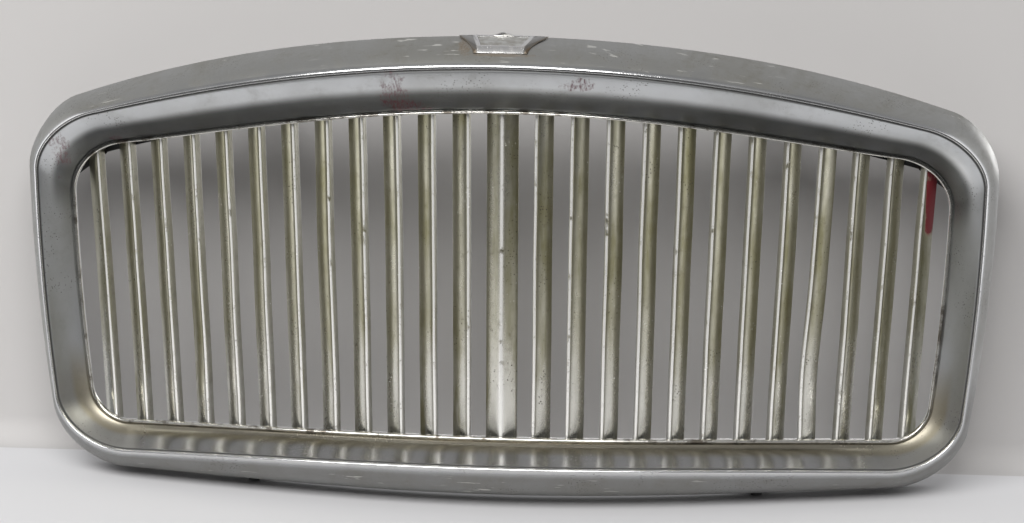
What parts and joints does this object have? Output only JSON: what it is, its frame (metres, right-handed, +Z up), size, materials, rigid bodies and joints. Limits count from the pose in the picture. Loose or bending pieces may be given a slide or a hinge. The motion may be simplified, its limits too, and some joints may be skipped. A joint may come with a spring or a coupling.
{
  "type": "front radiator grille",
  "caption": "Bowed front radiator grille with a bright pressed surround, folded vertical vanes, a centre bar, rear rails, mounting brackets and a plain badge plinth.",
  "frame": {"origin": "middle of the rectangle of four mounting holes, on the rear faces of the mounting brackets", "axes": "+X to the right seen from the front, +Y towards the rear of the car, +Z up; the front of the grille faces -Y"},
  "size_m": [0.6918, 0.116, 0.3322],
  "materials": {
    "surround_metal": "worn bright plating, satin on the outer return",
    "vane_metal": "bright metal with yellow tarnish",
    "black_paint": "satin black",
    "badge_metal": "worn plating",
    "panel_paint": "faded grey",
    "plated_steel": "dull plating"
  },
  "bodies": {
    "root": {"surround_shell": "surround_metal", "centre_bar": "vane_metal", "upper_rail": "black_paint", "lower_rail": "black_paint", "vane_left_01": "vane_metal", "vane_left_02": "vane_metal", "vane_left_03": "vane_metal", "vane_left_04": "vane_metal", "vane_left_05": "vane_metal", "vane_left_06": "vane_metal", "vane_left_07": "vane_metal", "vane_left_08": "vane_metal", "vane_left_09": "vane_metal", "vane_left_10": "vane_metal", "vane_left_11": "vane_metal", "vane_left_12": "vane_metal", "vane_right_01": "vane_metal", "vane_right_02": "vane_metal", "vane_right_03": "vane_metal", "vane_right_04": "vane_metal", "vane_right_05": "vane_metal", "vane_right_06": "vane_metal", "vane_right_07": "vane_metal", "vane_right_08": "vane_metal", "vane_right_09": "vane_metal", "vane_right_10": "vane_metal", "vane_right_11": "vane_metal", "vane_right_12": "vane_metal", "end_bracket_upper_left": "black_paint", "end_bracket_upper_right": "black_paint", "end_bracket_lower_left": "black_paint", "end_bracket_lower_right": "black_paint", "mount_bracket_upper_left": "black_paint", "mount_bracket_upper_right": "black_paint", "mount_bracket_lower_left": "black_paint", "mount_bracket_lower_right": "black_paint", "badge_plinth": "badge_metal", "badge_panel": "panel_paint", "badge_push_nuts": "plated_steel", "centre_bar_screws": "plated_steel", "rail_rivets": "plated_steel", "end_rivets": "plated_steel", "upper_bracket_rivets": "plated_steel", "lower_bracket_screws": "black_paint", "lower_bracket_washers": "plated_steel", "lower_bracket_nuts": "plated_steel"}
  },
  "joints": []
}
